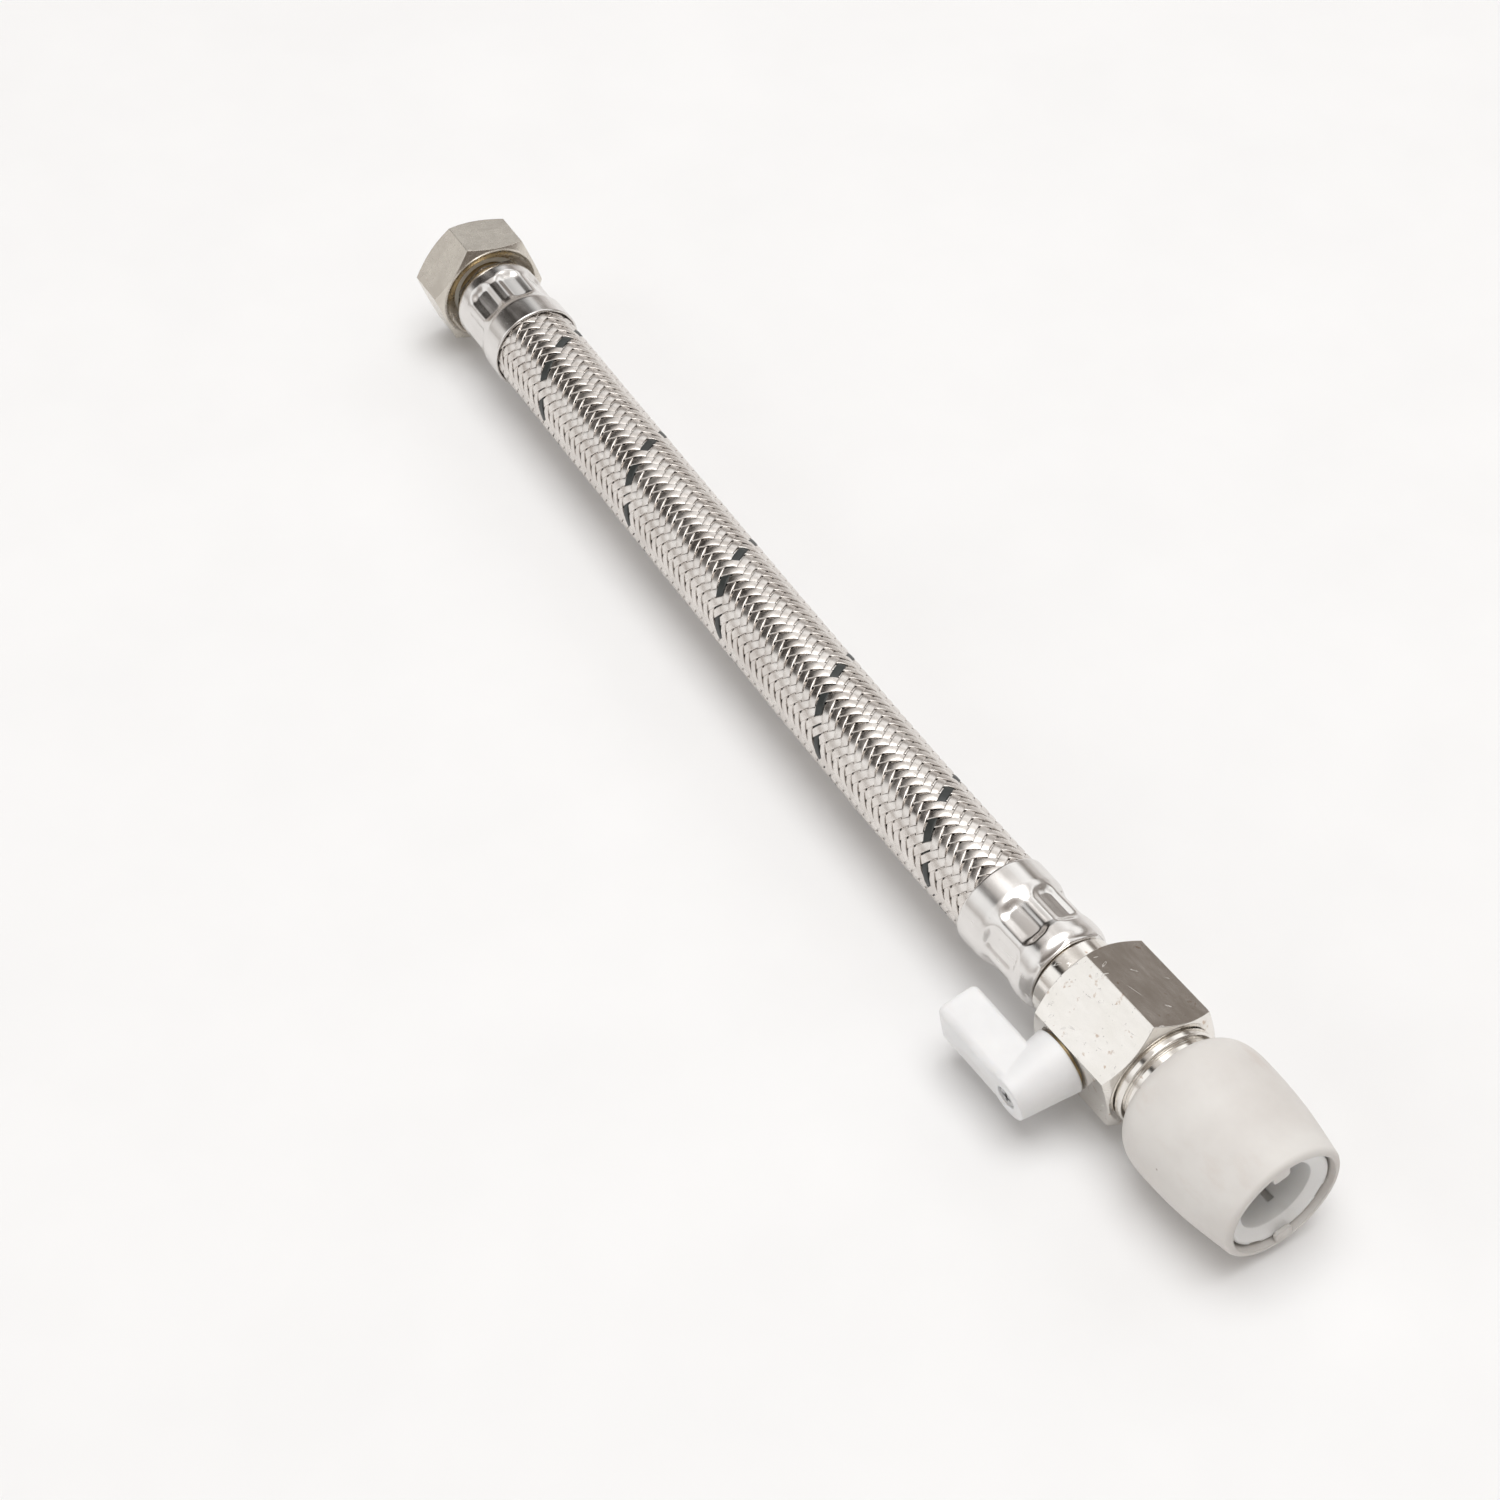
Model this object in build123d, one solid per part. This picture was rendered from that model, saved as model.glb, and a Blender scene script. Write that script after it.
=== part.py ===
"""Braided stainless supply line, half-inch tap nut to 15 mm push-fit socket with a lever valve.

Millimetres.  The flow axis of the valve end is the X axis, and the origin is the pipe stop, where a
pipe pushed into the socket comes to rest.  The socket opens towards +X, and +Z is up.  The hose
leaves the valve towards -X and bends gently towards +Y, and the nut end lies on the line of the
hose's last run.
"""
from build123d import *
from math import cos, sin, tan, pi, radians, degrees, atan2
import os

# ---------------------------------------------------------------- driving dimensions
PIPE_BORE_R = 7.65            # collet bore, a loose guide for a 15 mm pipe
SOCKET_BORE_R = 7.55          # pipe bore of the socket body
FLOW_R = 5.2                  # waterway through the valve
HOSE_R = 9.4                  # outside of the braid
LINER_R = 8.2                 # outside of the rubber liner, inside of the braid
LINER_BORE_R = 6.4            # full-bore hose, 12.8 mm inside
NUT_FLATS = 23.2              # across flats of the swivel nut
NUT_TURN = -10.7              # angle of its first corner, from +Y towards +Z
BODY_FLATS = 24.0             # across flats of the valve body
BODY_TURN = -19.8
THREAD_MINOR_R = 9.32         # G1/2 internal thread, minor radius
CORNER_CHAMFER = 30.0         # degrees, on the corners of both hexagons
CHAMFER_UNDER = 0.25          # how far inside the flats the chamfer starts

# Positions along X of the valve end, from the front of the cap towards the hose.
CAP_FRONT = 33.2
SOCKET_FRONT = 15.4
O_RING_SEAT = 10.5
PIPE_STOP = 0.0
COLLAR = (-0.8, 1.2)
BODY_HEX = (-22.3, -0.5)
BODY_END = -27.3
BALL_X = -14.0
BALL_R = 7.15
LINER_START = -28.8
FERRULE_LENGTH = 20.8
FERRULE_LAP = 19.7            # of that, how much lies over the hose
BRAID_SETBACK = 13.0          # the braid starts this far from the liner's end

# Centre line of the hose: straight runs rounded with large arcs, chosen by hand.
HOSE_ROUTE = [
    (LINER_START, 0.0, 0.0),
    (-57.8, 0.0, 0.0),
    (-109.8, 2.1, 0.0),
    (-179.8, 6.1, 0.0),
    (-249.5, 10.5, 0.0),
]

# Stem axis: it leaves the valve through the side flat that looks towards -Y and a little down.
STEM_TURN = BODY_TURN + 210   # from +Y towards +Z
LEVER_NEAR = 12.5             # height of the lever's hub above the flow axis
ARM_NEAR = 15.7
LEVER_TOP = 24.5
ARM_WIDTH = 10.0
ARM_REACH = 20.4


# ---------------------------------------------------------------- shape helpers
def rod(x0, x1, radius):
    """Solid cylinder on the X axis."""
    return Pos((x0 + x1) / 2, 0, 0) * Rot(0, 90, 0) * Cylinder(radius, abs(x1 - x0))


def tube(x0, x1, outer, inner):
    """Hollow cylinder on the X axis."""
    return rod(x0, x1, outer) - rod(x0 - 1, x1 + 1, inner)


def turned(points):
    """Solid of revolution about X from a closed outline of (x, radius) points."""
    return revolve(make_face(Polyline(*points, close=True)), Axis.X)


def ring(x, mean_radius, section_radius):
    """O-ring on the X axis."""
    return Pos(x, 0, 0) * Rot(0, 90, 0) * Torus(mean_radius, section_radius)


def hexagon(x0, x1, flats, turn):
    """Hexagonal bar on X whose corners are cut by 30 degree cones at both ends."""
    corner = flats / 3 ** 0.5
    points = [(corner * cos(radians(turn + 60 * k)), corner * sin(radians(turn + 60 * k))) for k in range(6)]
    bar = Pos(x0, 0, 0) * extrude(Plane.YZ * make_face(Polyline(*points, close=True)), x1 - x0)
    face_radius = flats / 2 - CHAMFER_UNDER
    over = corner + 0.5
    depth = (over - face_radius) * tan(radians(CORNER_CHAMFER))
    cones = turned([
        (x0, 0), (x0, face_radius), (x0 + depth, over), (x1 - depth, over), (x1, face_radius), (x1, 0),
    ])
    return bar & cones


def save(node, shape):
    """Write one named node."""
    shape.label = node
    export_step(shape, "parts/" + node + ".step")


# ---------------------------------------------------------------- hose
def rounded_route(points):
    """Straight runs joined by tangent arcs.

    The radii come from the whole route, so the liner and the shorter braid bend alike.
    """
    corners = [Vector(*p) for p in HOSE_ROUTE]
    runs = [b - a for a, b in zip(corners, corners[1:])]
    radii = []
    for before, after in zip(runs, runs[1:]):
        turn = radians(before.get_angle(after))
        radii.append(0.45 * min(before.length, after.length) / tan(turn / 2))
    print("hose arc radii", [round(r) for r in radii])
    return FilletPolyline(*points, radius=radii)


def hose_tube(path, outer, inner):
    """Tube of a given wall along a path that starts along -X."""
    start = Plane(origin=path @ 0, z_dir=path % 0)
    section = start * (Circle(outer) - Circle(inner))
    solid = sweep(section, path=path)
    length = path.length
    print("tube length", round(length, 2), "volume ratio",
          round(solid.volume / (pi * (outer ** 2 - inner ** 2) * length), 5))
    return solid


def hose_liner():
    """Rubber liner, from tail to tail."""
    return hose_tube(rounded_route(HOSE_ROUTE), LINER_R, LINER_BORE_R)


def hose_braid():
    """The braided sleeve stops inside the plain mouth of each ferrule."""
    whole = rounded_route(HOSE_ROUTE)
    first = whole.position_at(BRAID_SETBACK / whole.length)
    last = whole.position_at(1 - BRAID_SETBACK / whole.length)
    return hose_tube(rounded_route([first] + HOSE_ROUTE[1:-1] + [last]), HOSE_R, LINER_R)


def nut_end_place():
    """Where the nut end sits: origin at the liner's end, local -X along the hose's last run."""
    x0, y0, z0 = HOSE_ROUTE[-2]
    x1, y1, z1 = HOSE_ROUTE[-1]
    angle = degrees(atan2(y1 - y0, x0 - x1))
    return Pos(x1, y1, z1) * Rot(0, 0, -angle)


# ---------------------------------------------------------------- ferrule and barbed tails
MOUTH_R = 10.1
SLEEVE_R = 9.5                # outside of the sleeve between its end and its mouth
FERRULE_BORE_R = 6.7          # hole at the closed end
BRAID_ROOM_R = HOSE_R + 0.05
LINER_ROOM_R = LINER_R + 0.02
CRIMP_COUNT = 8
CRIMP_TO_MOUTH = 7.4
CRIMP_TURN = 25.0
CRIMP_LENGTH = 9.0
CRIMP_FLOOR_R = 8.85
CRIMP_WIDTH = 5.6
TAIL_SPIGOT_R = 6.8
TAIL_NECK_R = 6.6
BARB_SPAN = (1.0, 17.0)
BARB_COUNT = 5
BARB_ROOT_R = 5.9
BARB_CREST_R = LINER_BORE_R - 0.05
TAIL_BORE_R = 4.8


def ferrule():
    """Crimped sleeve.  Local x runs from -1.1 at its closed end to +19.7 at its mouth."""
    back = FERRULE_LAP - FERRULE_LENGTH
    mouth = FERRULE_LAP
    crimp_near = mouth - CRIMP_TO_MOUTH
    crimp_far = crimp_near - CRIMP_LENGTH
    outline = make_face([
        Line((back, FERRULE_BORE_R), (back, 8.0)),
        ThreePointArc((back, 8.0), (back + 0.7, 9.1), (back + 2.2, SLEEVE_R)),
        Line((back + 2.2, SLEEVE_R), (back + 4.0, SLEEVE_R)),
        Line((back + 4.0, SLEEVE_R), (crimp_near - 0.5, 9.6)),
        Line((crimp_near - 0.5, 9.6), (crimp_near + 0.6, 10.0)),
        Line((crimp_near + 0.6, 10.0), (mouth - 0.5, MOUTH_R)),
        ThreePointArc((mouth - 0.5, MOUTH_R), (mouth, MOUTH_R - 0.3), (mouth - 0.4, BRAID_ROOM_R)),
        Line((mouth - 0.4, BRAID_ROOM_R), (crimp_near + 0.5, BRAID_ROOM_R)),
        Line((crimp_near + 0.5, BRAID_ROOM_R), (crimp_near + 0.2, LINER_ROOM_R)),
        Line((crimp_near + 0.2, LINER_ROOM_R), (0.0, LINER_ROOM_R)),
        Line((0.0, LINER_ROOM_R), (0.0, FERRULE_BORE_R)),
        Line((0.0, FERRULE_BORE_R), (back, FERRULE_BORE_R)),
    ])
    sleeve = revolve(outline, Axis.X)
    window = Box(CRIMP_LENGTH, CRIMP_WIDTH, 4)
    window = fillet(window.edges().filter_by(Axis.Z), 0.8)
    window = Pos((crimp_near + crimp_far) / 2, 0, CRIMP_FLOOR_R + 2) * window
    for k in range(CRIMP_COUNT):
        sleeve -= Rot(360 / CRIMP_COUNT * (k + 0.5) + CRIMP_TURN, 0, 0) * window
    return sleeve


def barbs():
    """Outline points of the row of barbs, from a tail's neck to its end in the liner."""
    first, last = BARB_SPAN
    pitch = (last - first) / BARB_COUNT
    points = []
    for k in range(BARB_COUNT):
        x = first + k * pitch
        points.append((x, BARB_CREST_R))
        points.append((x + pitch, BARB_ROOT_R))
    return points + [(last, TAIL_BORE_R)]


def valve_end_tail():
    """Barbed insert pressed into the collar of the valve body.  Local x, like the ferrule."""
    return turned([
        (-7.4, TAIL_BORE_R), (-7.4, TAIL_SPIGOT_R), (-3.8, TAIL_SPIGOT_R), (-3.8, 6.15), (-2.4, 6.15),
        (-2.4, TAIL_SPIGOT_R), (-1.3, TAIL_SPIGOT_R), (-1.3, TAIL_NECK_R), (0.0, TAIL_NECK_R), (0.0, 6.1),
        (BARB_SPAN[0], 6.1),
    ] + barbs())


def tail_o_ring():
    return ring(-3.1, 6.48, 0.31)


# ---------------------------------------------------------------- nut end, in its own frame
NUT_NEAR = -2.3
NUT_FAR = -13.55
NUT_SHOULDER = -4.2
NUT_HOLE_R = 8.2
NUT_DISH_R = 10.9
NUT_DISH_DEPTH = 1.6
SLIP_RING = (-4.8, -4.3)
FLANGE = (-6.1, -4.9)
FLANGE_R = 8.9
THREAD_RELIEF_R = 9.9
NUT_MOUTH_R = 10.4
WASHER_THICK = 1.1
THREAD_END = -7.4


def nut_end_tail():
    """Brass tail: sealing flange, neck under the nut, barbs in the liner."""
    return turned([
        (FLANGE[0], TAIL_BORE_R), (FLANGE[0], FLANGE_R), (FLANGE[1], FLANGE_R), (FLANGE[1], TAIL_NECK_R),
        (0.0, TAIL_NECK_R), (0.0, 6.1), (BARB_SPAN[0], 6.1),
    ] + barbs())


def swivel_nut():
    """Hexagon nut, G1/2 inside, with a dished near face round the hole for the tail."""
    nut = hexagon(NUT_FAR, NUT_NEAR, NUT_FLATS, NUT_TURN)
    bore = turned([
        (NUT_NEAR + 1, 0), (NUT_NEAR + 1, NUT_HOLE_R), (NUT_SHOULDER, NUT_HOLE_R),
        (NUT_SHOULDER, THREAD_RELIEF_R), (THREAD_END, THREAD_RELIEF_R), (THREAD_END, THREAD_MINOR_R),
        (NUT_FAR + 0.9, THREAD_MINOR_R), (NUT_FAR, NUT_MOUTH_R),
        (NUT_FAR - 1, NUT_MOUTH_R), (NUT_FAR - 1, 0),
    ])
    rim = (NUT_NEAR, NUT_DISH_R)
    foot = (NUT_NEAR - NUT_DISH_DEPTH, NUT_HOLE_R - 0.1)
    outline = make_face([
        ThreePointArc(rim, (NUT_NEAR - 0.78 * NUT_DISH_DEPTH, 9.5), foot),
        Line(foot, (NUT_NEAR + 1, NUT_HOLE_R - 0.1)),
        Line((NUT_NEAR + 1, NUT_HOLE_R - 0.1), (NUT_NEAR + 1, NUT_DISH_R)),
        Line((NUT_NEAR + 1, NUT_DISH_R), rim),
    ])
    return nut - bore - revolve(outline, Axis.X)


def slip_ring():
    return tube(*SLIP_RING, FLANGE_R, TAIL_NECK_R + 0.15)


def sealing_washer():
    return tube(FLANGE[0] - WASHER_THICK, FLANGE[0], 9.1, 5.4)


# ---------------------------------------------------------------- valve body and socket body
CHAMBER_R = 8.5
CAP_THREAD_R = 11.0
SEAT_NEAR = 3.6               # seats reach from here to SEAT_FAR from the ball's centre
SEAT_FAR = 6.4
STEM_POCKET_R = 3.8
STEM_POCKET_TOP = 9.0
GLAND_THREAD_R = 4.6
GLAND_SEAT = 9.6
GLAND_TOP = 12.3
GLAND_HEAD_R = 5.6
STEM_R = 2.6
STEM_SHOULDER_R = 3.6
STEM_RING_HEIGHTS = (10.4, 11.8)
STEM_TOP = 18.9
LEVER_FLATS = (13.6, 18.9)    # heights of the two flats on the stem


def on_stem(shape):
    """Place a shape built on local Z, with Z as height above the flow axis, onto the stem axis."""
    return Pos(BALL_X, 0, 0) * Rot(STEM_TURN - 90, 0, 0) * shape


def post(h0, h1, radius):
    """Upright cylinder between two heights."""
    return Pos(0, 0, (h0 + h1) / 2) * Cylinder(radius, h1 - h0)


def valve_body():
    """Hexagon body with a round collar over the tail and the ball chamber open to the socket."""
    body = hexagon(*BODY_HEX, BODY_FLATS, BODY_TURN)
    body += turned([(BODY_HEX[0] + 1, 0), (BODY_HEX[0] + 1, 8.8), (BODY_END + 0.4, 8.8), (BODY_END, 8.4),
                    (BODY_END, 0)])
    body -= rod(BALL_X - SEAT_FAR, BODY_HEX[1] + 1, CHAMBER_R)
    body -= rod(BODY_END - 1, BODY_HEX[1], FLOW_R)
    body -= rod(BODY_END - 1, LINER_START + 7.4, TAIL_SPIGOT_R)
    body -= on_stem(post(0, STEM_POCKET_TOP, STEM_POCKET_R))
    body -= on_stem(post(0, 14, STEM_R + 0.15))
    body -= on_stem(post(GLAND_SEAT, 14, GLAND_THREAD_R))
    return body


def socket_body():
    """Screwed end piece: spigot in the hexagon, collar, neck, cap thread and the pipe socket."""
    seat_face = BALL_X + SEAT_FAR
    outside = turned([
        (seat_face, 0), (seat_face, CHAMBER_R), (COLLAR[0] - 1.6, CHAMBER_R), (COLLAR[0] - 1.6, 7.95),
        (COLLAR[0] - 0.3, 7.95), (COLLAR[0] - 0.3, 8.5), (BODY_HEX[1], 8.5), (BODY_HEX[1], 10.2),
        (COLLAR[0] + 0.6, 10.2), (COLLAR[0] + 0.6, 10.8), (COLLAR[1] - 0.3, 10.8), (COLLAR[1], 10.5),
        (COLLAR[1], 9.6), (6.2, 9.6), (6.8, CAP_THREAD_R), (SOCKET_FRONT - 0.5, CAP_THREAD_R),
        (SOCKET_FRONT, 10.5),
        (SOCKET_FRONT, 0),
    ])
    inside = turned([
        (seat_face - 1, 0), (seat_face - 1, FLOW_R), (PIPE_STOP, FLOW_R), (PIPE_STOP, SOCKET_BORE_R),
        (O_RING_SEAT, SOCKET_BORE_R), (O_RING_SEAT, 9.6), (SOCKET_FRONT + 1, 9.6), (SOCKET_FRONT + 1, 0),
    ])
    return outside - inside


def body_o_ring():
    return ring(COLLAR[0] - 0.95, 8.22, 0.26)


def pipe_o_ring():
    return ring(O_RING_SEAT + 1.0, 8.59, 0.98)


def spacer_ring():
    return tube(13.2, 15.2, 9.5, 7.8)


def seat(turn):
    """PTFE seat ring, turned about Z: 0 faces it to the socket's side of the ball."""
    cup = BALL_R + 0.08
    rim = (SEAT_NEAR, (cup ** 2 - SEAT_NEAR ** 2) ** 0.5)
    foot = ((cup ** 2 - FLOW_R ** 2) ** 0.5, FLOW_R)
    middle = (cup * cos(radians(52)), cup * sin(radians(52)))
    profile = make_face([
        ThreePointArc(rim, middle, foot),
        Line(foot, (SEAT_FAR, FLOW_R)),
        Line((SEAT_FAR, FLOW_R), (SEAT_FAR, CHAMBER_R)),
        Line((SEAT_FAR, CHAMBER_R), (SEAT_NEAR, CHAMBER_R)),
        Line((SEAT_NEAR, CHAMBER_R), rim),
    ])
    return Pos(BALL_X, 0, 0) * Rot(0, 0, turn) * revolve(profile, Axis.X)


def seat_socket_side():
    return seat(0)


def seat_hose_side():
    return seat(180)


# ---------------------------------------------------------------- ball, stem and gland
def ball():
    """Full-bore ball, open along X, with a slot for the stem's tongue."""
    solid = Sphere(BALL_R) - Rot(0, 90, 0) * Cylinder(FLOW_R - 0.2, 20)
    slot = Pos(0, 0, BALL_R) * Box(20, 2.6, 2.6)
    return on_stem(solid - slot)


def stem():
    """Brass stem: tongue, shoulder, shank and two flats for the lever."""
    shaft = post(7.35, 8.5, STEM_SHOULDER_R) + post(8.4, STEM_TOP, STEM_R)
    shaft += Pos(0, 0, 6.8) * Box(6.0, 2.4, 1.4)
    flat_length = LEVER_FLATS[1] - LEVER_FLATS[0]
    for side in (-1, 1):
        shaft -= Pos(0, side * 3.0, sum(LEVER_FLATS) / 2 + 0.5) * Box(8, 2.0, flat_length + 1.0)
    shaft -= post(LEVER_FLATS[0], STEM_TOP + 1, 1.3)
    return on_stem(shaft)


def stem_washer():
    return on_stem(post(8.55, 8.95, STEM_SHOULDER_R) - post(8, 9.5, STEM_R + 0.08))


def gland():
    """Screwed packing gland, its head standing on the body's flat."""
    flat = BODY_FLATS / 2
    solid = post(GLAND_SEAT, flat + 0.1, GLAND_THREAD_R) + post(flat, GLAND_TOP, GLAND_HEAD_R)
    solid = solid - post(GLAND_SEAT - 1, GLAND_TOP + 1, STEM_R + 0.12)
    for height in STEM_RING_HEIGHTS:
        solid -= post(height - 0.55, height + 0.55, 3.62)
    return on_stem(solid)


def stem_o_rings():
    lower, upper = (Pos(0, 0, height) * Torus(3.17, 0.45) for height in STEM_RING_HEIGHTS)
    return on_stem(lower + upper)


# ---------------------------------------------------------------- lever
SCREW_SEAT = LEVER_TOP - 2.0
HUB_R = (6.6, 4.9)            # at the body, and at the outer end
RECESS_R = 2.3
SCREW_HEAD_R = 2.1
SCREW_HEAD_HEIGHT = 1.8


def lever():
    """Nylon lever: conical hub over the stem and a square arm that lies along the hose."""
    hub = Pos(0, 0, (LEVER_NEAR + LEVER_TOP) / 2) * Cone(*HUB_R, LEVER_TOP - LEVER_NEAR)
    arm_height = LEVER_TOP - ARM_NEAR
    arm = Pos(-ARM_REACH / 2, 0, (ARM_NEAR + LEVER_TOP) / 2) * Box(ARM_REACH, ARM_WIDTH, arm_height)
    arm = fillet(arm.edges().filter_by(Axis.X), 1.6)
    arm = fillet(arm.faces().sort_by(Axis.X)[0].edges(), 1.2)
    solid = hub + arm
    solid -= post(LEVER_NEAR - 1, STEM_TOP, STEM_R + 0.05) - lever_flats()
    solid -= post(STEM_TOP - 1, SCREW_SEAT + 1, 1.7)
    solid -= post(SCREW_SEAT, LEVER_TOP + 1, RECESS_R)
    return on_stem(solid)


def lever_flats():
    """The two flats left standing in the lever's bore."""
    low = LEVER_FLATS[0] + 0.1
    middle = (low + STEM_TOP) / 2
    flats = [Pos(0, side * 2.55, middle) * Box(8, 1.0, STEM_TOP - low) for side in (-1, 1)]
    return flats[0] + flats[1]


def lever_screw():
    """Pan head screw with a cross recess."""
    head = SCREW_SEAT + 0.05
    top = head + SCREW_HEAD_HEIGHT
    screw = post(head, top, SCREW_HEAD_R) + post(LEVER_FLATS[0] + 0.5, head + 0.05, 1.25)
    screw = fillet(screw.edges().sort_by(Axis.Z)[-1], 0.4)
    for turn in (0, 90):
        screw -= Pos(0, 0, top) * Rot(0, 0, turn) * Box(2.6, 0.6, 1.8)
    return on_stem(screw)


# ---------------------------------------------------------------- push-fit cap and collet
CAP_REAR = -29.5
CAP_WAIST = (-20.5, 14.85)    # near where the barrel is widest
CAP_MOUTH_R = 11.2
CAP_SKIRT_R = 11.15           # runs over the thread of the socket body
CAP_THROAT_R = 9.05
MOUTH_FLOOR = -5.4
LUG_ANGLES = (102, 278)       # two small lugs in the cap's mouth, from +Y towards +Z


def cap():
    """Barrel-shaped cap: thin lip, collet recess, shoulder that closes the collet, thread bore.

    Local x is 0 at its front face and negative towards the hose.
    """
    profile = make_face([
        Line((0.0, CAP_MOUTH_R), (0.0, 11.8)),
        ThreePointArc((0.0, 11.8), (-0.3, 12.4), (-0.9, 12.75)),
        Spline((-0.9, 12.75), (-10.0, 14.25), CAP_WAIST, (-27.2, 13.85), (CAP_REAR, 11.9)),
        Line((CAP_REAR, 11.9), (CAP_REAR, CAP_SKIRT_R)),
        Line((CAP_REAR, CAP_SKIRT_R), (-17.0, CAP_SKIRT_R)),
        Line((-17.0, CAP_SKIRT_R), (-17.0, 10.6)),
        Line((-17.0, 10.6), (-11.0, 10.6)),
        Line((-11.0, 10.6), (-9.5, CAP_THROAT_R)),
        Line((-9.5, CAP_THROAT_R), (MOUTH_FLOOR, CAP_THROAT_R)),
        Line((MOUTH_FLOOR, CAP_THROAT_R), (MOUTH_FLOOR, CAP_MOUTH_R)),
        Line((MOUTH_FLOOR, CAP_MOUTH_R), (0.0, CAP_MOUTH_R)),
    ])
    solid = revolve(profile, Axis.X)
    lug = Pos(-0.45, 0, 10.15) * Box(0.8, 3.6, 2.5)
    lug = fillet(lug.edges().filter_by(Axis.X).sort_by(Axis.Z)[:2], 0.9)
    for angle in LUG_ANGLES:
        solid += Rot(angle - 90, 0, 0) * lug
    return solid


COLLET_SLOTS = 4
COLLET_FRONT = -1.15
TOOTH_X = (-13.6, -13.1)
FINGER_R = 8.85
FINGER_END_R = 9.75
HEAD_R = 10.6
SLOT_TURN = 20.0
NOTCH_TURN = 65.0


def collet():
    """Collet: head ring in the cap's mouth, slotted fingers with barbed ends.  Local x, like the cap."""
    solid = turned([
        (-15.0, PIPE_BORE_R), (-15.0, 9.3), (-13.8, FINGER_END_R), (-12.4, FINGER_END_R),
        (-11.6, FINGER_R), (-3.4, FINGER_R),
        (-3.4, HEAD_R), (-1.4, HEAD_R), (COLLET_FRONT, 10.4), (COLLET_FRONT, 9.9), (-2.4, PIPE_BORE_R),
    ])
    for k in range(COLLET_SLOTS):
        slot = Pos(-10.4, 0, 9) * Box(9.6, 1.4, 6)
        solid -= Rot(360 / COLLET_SLOTS * k + SLOT_TURN, 0, 0) * slot
    solid -= tube(*TOOTH_X, 9.3, PIPE_BORE_R - 0.1)
    notch = Pos(COLLET_FRONT, 0, HEAD_R) * Box(2.0, 3.0, 1.2)
    for k in range(COLLET_SLOTS):
        solid -= Rot(360 / COLLET_SLOTS * k + NOTCH_TURN, 0, 0) * notch
    return solid


def collet_teeth():
    """Steel grip segments held in the fingers, one in each.  Local x, like the cap."""
    whole = tube(*TOOTH_X, 9.28, PIPE_BORE_R)
    for k in range(COLLET_SLOTS):
        gap = Pos(-13.3, 0, 9) * Box(2, 2.2, 6)
        whole -= Rot(360 / COLLET_SLOTS * k + SLOT_TURN, 0, 0) * gap
    return whole


# ---------------------------------------------------------------- writing the nodes
def main():
    os.makedirs("parts", exist_ok=True)
    at_nut_end = nut_end_place()
    at_valve_tail = Pos(LINER_START, 0, 0) * Rot(0, 0, 180)
    at_cap = Pos(CAP_FRONT, 0, 0)
    in_place = Pos(0, 0, 0)
    nodes = [
        ("swivel_nut", swivel_nut, at_nut_end),
        ("slip_ring", slip_ring, at_nut_end),
        ("sealing_washer", sealing_washer, at_nut_end),
        ("nut_end_tail", nut_end_tail, at_nut_end),
        ("nut_end_ferrule", ferrule, at_nut_end),
        ("hose_liner", hose_liner, in_place),
        ("hose_braid", hose_braid, in_place),
        ("valve_end_ferrule", ferrule, at_valve_tail),
        ("valve_end_tail", valve_end_tail, at_valve_tail),
        ("tail_o_ring", tail_o_ring, at_valve_tail),
        ("valve_body", valve_body, in_place),
        ("seat_hose_side", seat_hose_side, in_place),
        ("seat_socket_side", seat_socket_side, in_place),
        ("ball", ball, in_place),
        ("stem", stem, in_place),
        ("stem_washer", stem_washer, in_place),
        ("stem_o_rings", stem_o_rings, in_place),
        ("gland", gland, in_place),
        ("lever", lever, in_place),
        ("lever_screw", lever_screw, in_place),
        ("socket_body", socket_body, in_place),
        ("body_o_ring", body_o_ring, in_place),
        ("pipe_o_ring", pipe_o_ring, in_place),
        ("spacer_ring", spacer_ring, in_place),
        ("collet", collet, at_cap),
        ("collet_teeth", collet_teeth, at_cap),
        ("cap", cap, at_cap),
    ]
    for node, make, place in nodes:
        save(node, place * make())


main()
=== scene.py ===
"""Looks of the braided supply line: liner, braid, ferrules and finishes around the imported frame."""
import math
from math import cos, sin, pi, radians, atan2

import bpy
import bmesh
import numpy as np
from mathutils import Matrix, Vector


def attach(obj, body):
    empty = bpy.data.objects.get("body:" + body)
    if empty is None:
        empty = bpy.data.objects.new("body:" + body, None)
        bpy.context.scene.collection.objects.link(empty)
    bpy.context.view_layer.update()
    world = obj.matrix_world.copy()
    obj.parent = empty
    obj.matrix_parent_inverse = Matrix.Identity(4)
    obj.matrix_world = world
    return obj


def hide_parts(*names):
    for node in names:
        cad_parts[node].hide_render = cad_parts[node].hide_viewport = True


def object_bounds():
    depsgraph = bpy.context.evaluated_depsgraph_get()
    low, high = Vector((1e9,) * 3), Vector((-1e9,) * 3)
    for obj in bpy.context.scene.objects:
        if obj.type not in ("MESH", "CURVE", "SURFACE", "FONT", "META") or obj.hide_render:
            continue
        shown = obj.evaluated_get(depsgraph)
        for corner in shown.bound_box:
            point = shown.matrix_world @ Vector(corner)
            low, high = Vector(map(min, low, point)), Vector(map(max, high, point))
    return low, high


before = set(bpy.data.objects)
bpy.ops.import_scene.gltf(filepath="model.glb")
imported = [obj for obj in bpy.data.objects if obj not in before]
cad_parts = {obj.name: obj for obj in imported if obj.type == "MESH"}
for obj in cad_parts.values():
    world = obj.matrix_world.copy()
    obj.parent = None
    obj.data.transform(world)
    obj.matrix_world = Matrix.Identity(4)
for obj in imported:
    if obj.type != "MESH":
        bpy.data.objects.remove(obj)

MM = 0.001
CAD_BOX = [[float(value) for value in corner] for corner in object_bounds()]

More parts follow.
